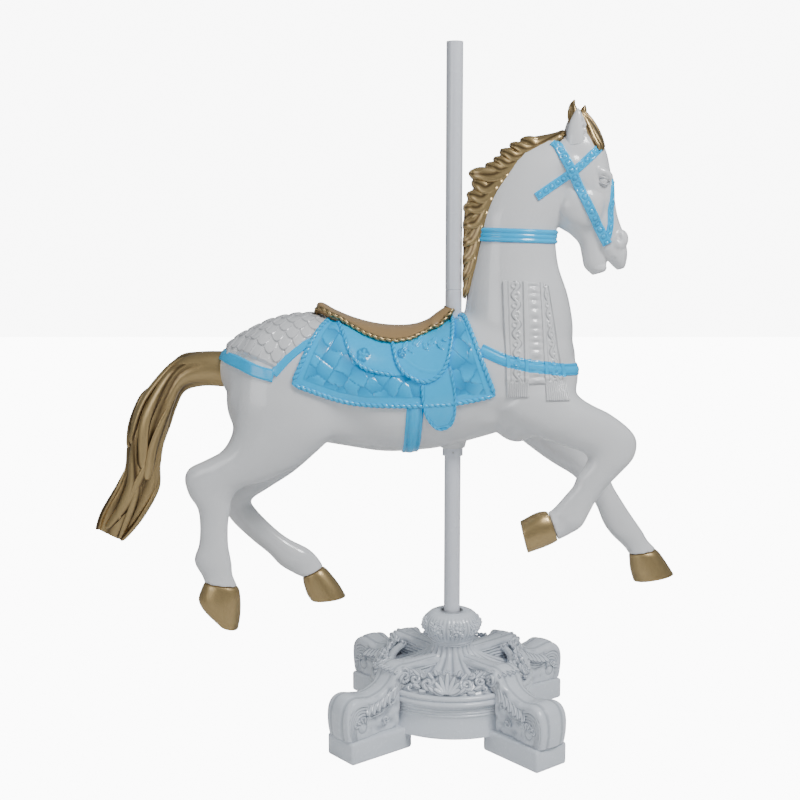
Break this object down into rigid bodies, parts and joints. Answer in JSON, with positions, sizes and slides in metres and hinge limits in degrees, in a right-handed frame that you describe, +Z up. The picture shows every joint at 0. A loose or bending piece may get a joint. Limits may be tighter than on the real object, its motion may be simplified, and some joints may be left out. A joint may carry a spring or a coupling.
{
  "type": "carousel horse display",
  "caption": "Jumping carousel horse clamped on a vertical two-length steel pole that turns in an ornate scroll-legged pedestal.",
  "frame": {"origin": "on the floor, on the pole's axis", "axes": "+Z up along the pole, +X towards the horse's head, +Y to the horse's left"},
  "size_m": [1.7535, 0.7306, 2.023],
  "materials": {
    "pole_paint": "gloss white paint on steel tube",
    "bare_steel": "mill finish",
    "fastener_steel": "zinc plated",
    "bush_nylon": "machined nylon",
    "collar_paint": "gloss white paint",
    "pedestal_white": "gloss white gel coat over cast resin and glass fibre",
    "horse_white": "gloss white lacquer on glass fibre",
    "gold_hair": "metallic gold paint with darker glaze in the grooves",
    "gold_hoof": "metallic gold paint",
    "saddle_bronze": "bronze gold paint, darker in the seat",
    "blanket_blue": "gloss sky-blue paint on quilted relief",
    "skirt_blue": "gloss sky-blue paint on leather-like relief",
    "strap_blue": "gloss sky-blue paint on raised strap",
    "scarf_white": "gloss white relief"
  },
  "bodies": {
    "stand": {"base_drum": "pedestal_white", "base_plate": "bare_steel", "flared_neck": "pedestal_white", "leg_bolts": "fastener_steel", "plinth_block_1": "pedestal_white", "plinth_block_2": "pedestal_white", "plinth_block_3": "pedestal_white", "plinth_block_4": "pedestal_white", "pole_bushes": "bush_nylon", "scroll_leg_1": "pedestal_white", "scroll_leg_2": "pedestal_white", "scroll_leg_3": "pedestal_white", "scroll_leg_4": "pedestal_white", "socket_tube": "bare_steel", "thrust_washer": "bush_nylon", "urn_collar": "pedestal_white"},
    "pole": {"lower_pole": "pole_paint"},
    "horse": {"belly_boss": "horse_white", "breast_strap": "strap_blue", "bridle_straps": "strap_blue", "clamp_collar": "collar_paint", "collar_screws": "fastener_steel", "crupper_strap": "strap_blue", "ear_left": "horse_white", "ear_right": "horse_white", "fore_left_hoof": "gold_hoof", "fore_left_lower_leg": "horse_white", "fore_left_upper_leg": "horse_white", "fore_right_hoof": "gold_hoof", "fore_right_lower_leg": "horse_white", "fore_right_upper_leg": "horse_white", "forelock": "gold_hair", "girth_strap": "strap_blue", "head_shell": "horse_white", "hind_left_hoof": "gold_hoof", "hind_left_lower_leg": "horse_white", "hind_left_upper_leg": "horse_white", "hind_right_hoof": "gold_hoof", "hind_right_lower_leg": "horse_white", "hind_right_upper_leg": "horse_white", "lower_jaw": "horse_white", "mane": "gold_hair", "neck_band": "strap_blue", "neck_shell": "horse_white", "pole_sleeve": "bare_steel", "saddle_blanket": "blanket_blue", "saddle_flap_left": "skirt_blue", "saddle_flap_right": "skirt_blue", "saddle_seat": "saddle_bronze", "saddle_skirt_left": "skirt_blue", "saddle_skirt_right": "skirt_blue", "scarf_left": "scarf_white", "scarf_right": "scarf_white", "sleeve_plates": "bare_steel", "tail": "gold_hair", "torso_shell": "horse_white"},
    "upper_pole": {"upper_pole": "pole_paint"}
  },
  "joints": [
    {"name": "pole_turn", "type": "hinge", "parent": "stand", "child": "pole", "pos_m": [0, 0, 0], "axis": [0, 0, 1], "continuous": true},
    {"name": "horse_height", "type": "slide", "parent": "pole", "child": "horse", "axis": [0, 0, 1], "range_m": [-0.1, 0.12]},
    {"name": "upper_pole_lift", "type": "slide", "parent": "pole", "child": "upper_pole", "axis": [0, 0, 1], "range_m": [0, 0.11]}
  ]
}
